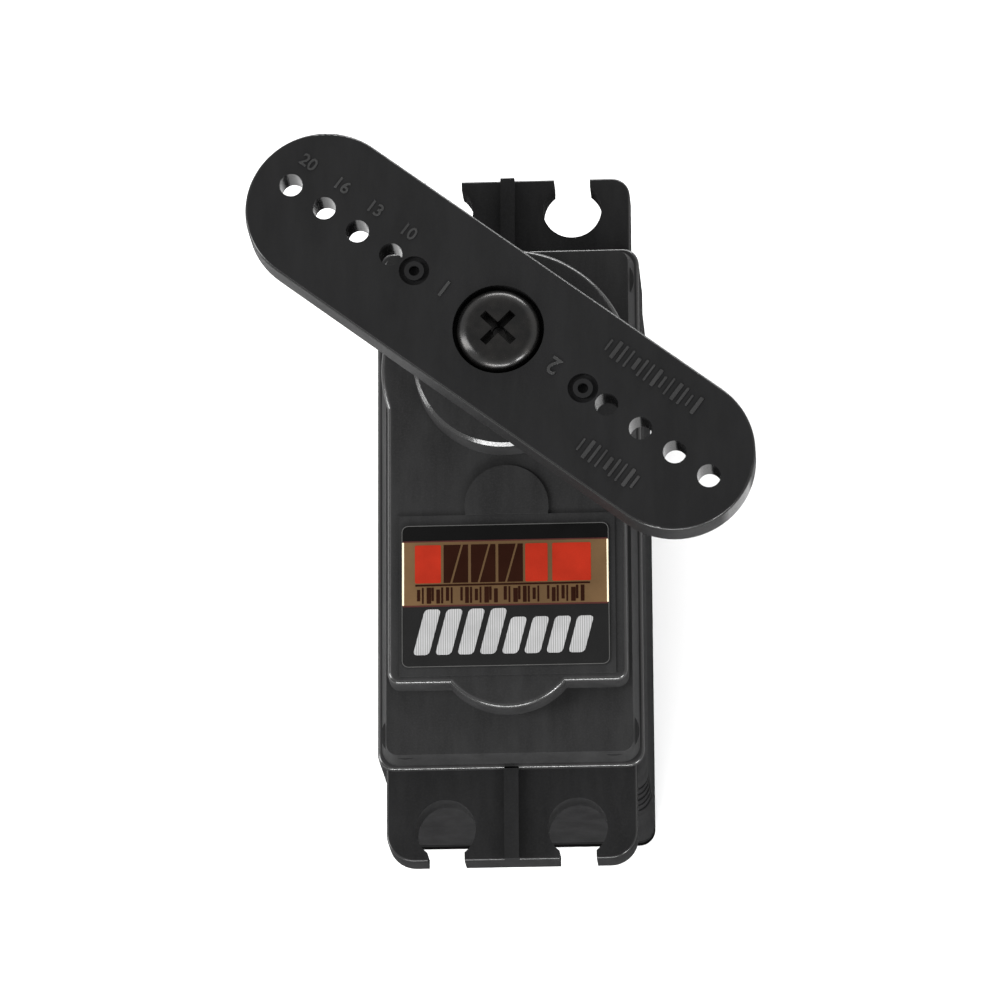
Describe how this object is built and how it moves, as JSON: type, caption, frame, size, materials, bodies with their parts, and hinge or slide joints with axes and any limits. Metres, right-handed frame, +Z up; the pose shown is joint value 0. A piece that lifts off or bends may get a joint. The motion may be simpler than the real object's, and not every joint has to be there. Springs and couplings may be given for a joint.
{
  "type": "hobby servo motor",
  "caption": "Black rectangular servo with slotted mounting ears, a splined output shaft with a double-arm horn, a geared motor, a position sensor and a control board.",
  "frame": {"origin": "on the base of the case, straight under the output shaft's axis", "axes": "+Z up along the output shaft, +Y towards the output end of the case, +X across its width"},
  "size_m": [0.0382, 0.0541, 0.0437],
  "materials": {
    "upper_case": "satin black moulded nylon",
    "middle_case": "satin black moulded nylon",
    "lower_case": "satin black moulded nylon",
    "case_screws": "black oxide steel",
    "label": "printed foil with a bronze band, orange blocks and silver bars",
    "cable_gland": "matt black",
    "idler_pin_long": "ground",
    "idler_pin_short": "ground",
    "idler_washer": "plain",
    "upper_bearing_outer_ring": "ground",
    "upper_bearing_balls": "polished",
    "lower_bearing_outer_ring": "ground",
    "lower_bearing_balls": "polished",
    "motor_can": "plated",
    "motor_bushing": "sintered bronze",
    "motor_magnet": "nickel plated",
    "motor_end_cap": "moulded",
    "motor_terminals": "tinned",
    "potentiometer": "moulded",
    "sensor_legs": "tinned",
    "control_board": "solder mask",
    "control_chip": "epoxy",
    "motor_drivers": "epoxy",
    "capacitor": "sleeved can",
    "lead_pads": "moulded",
    "servo_horn": "fine satin black",
    "horn_screw": "glossy black steel",
    "output_gear": "machined",
    "upper_bearing_inner_ring": "ground",
    "lower_bearing_inner_ring": "ground",
    "potentiometer_shaft": "turned",
    "third_gear": "machined",
    "second_gear": "machined",
    "first_gear": "machined",
    "motor_pinion": "hobbed",
    "motor_shaft": "ground",
    "rotor_winding": "varnished copper"
  },
  "bodies": {
    "case": {"upper_case": "upper_case", "middle_case": "middle_case", "lower_case": "lower_case", "case_screws": "case_screws", "label": "label", "cable_gland": "cable_gland", "idler_pin_long": "idler_pin_long", "idler_pin_short": "idler_pin_short", "idler_washer": "idler_washer", "upper_bearing_outer_ring": "upper_bearing_outer_ring", "upper_bearing_balls": "upper_bearing_balls", "lower_bearing_outer_ring": "lower_bearing_outer_ring", "lower_bearing_balls": "lower_bearing_balls", "motor_can": "motor_can", "motor_bushing": "motor_bushing", "motor_magnet": "motor_magnet", "motor_end_cap": "motor_end_cap", "motor_terminals": "motor_terminals", "potentiometer": "potentiometer", "sensor_legs": "sensor_legs", "control_board": "control_board", "control_chip": "control_chip", "motor_drivers": "motor_drivers", "capacitor": "capacitor", "lead_pads": "lead_pads"},
    "output": {"servo_horn": "servo_horn", "horn_screw": "horn_screw", "output_gear": "output_gear", "upper_bearing_inner_ring": "upper_bearing_inner_ring", "lower_bearing_inner_ring": "lower_bearing_inner_ring", "potentiometer_shaft": "potentiometer_shaft"},
    "third": {"third_gear": "third_gear"},
    "second": {"second_gear": "second_gear"},
    "first": {"first_gear": "first_gear"},
    "rotor": {"motor_pinion": "motor_pinion", "motor_shaft": "motor_shaft", "rotor_winding": "rotor_winding"}
  },
  "joints": [
    {"name": "output_spin", "type": "hinge", "parent": "case", "child": "output", "pos_m": [0, 0, 0.03], "axis": [0, 0, 1], "range_deg": [-53, 127]},
    {"name": "third_gear_spin", "type": "hinge", "parent": "case", "child": "third", "pos_m": [0, -0.011, 0.03], "axis": [0, 0, 1], "range_deg": [-295, 124]},
    {"name": "second_gear_spin", "type": "hinge", "parent": "case", "child": "second", "pos_m": [0, -0.021, 0.03], "axis": [0, 0, 1], "range_deg": [-340, 813]},
    {"name": "first_gear_spin", "type": "hinge", "parent": "case", "child": "first", "pos_m": [0, -0.011, 0.03], "axis": [0, 0, 1], "range_deg": [-2538, 1060]},
    {"name": "rotor_spin", "type": "hinge", "parent": "case", "child": "rotor", "pos_m": [0, -0.021, 0.03], "axis": [0, 0, 1], "range_deg": [-4517, 10823]}
  ],
  "couplings": [
    {"joint": "third_gear_spin", "follows": "output_spin", "ratio": -2.3077},
    {"joint": "second_gear_spin", "follows": "output_spin", "ratio": 6.3905},
    {"joint": "first_gear_spin", "follows": "output_spin", "ratio": -19.97},
    {"joint": "rotor_spin", "follows": "output_spin", "ratio": 85.207}
  ]
}
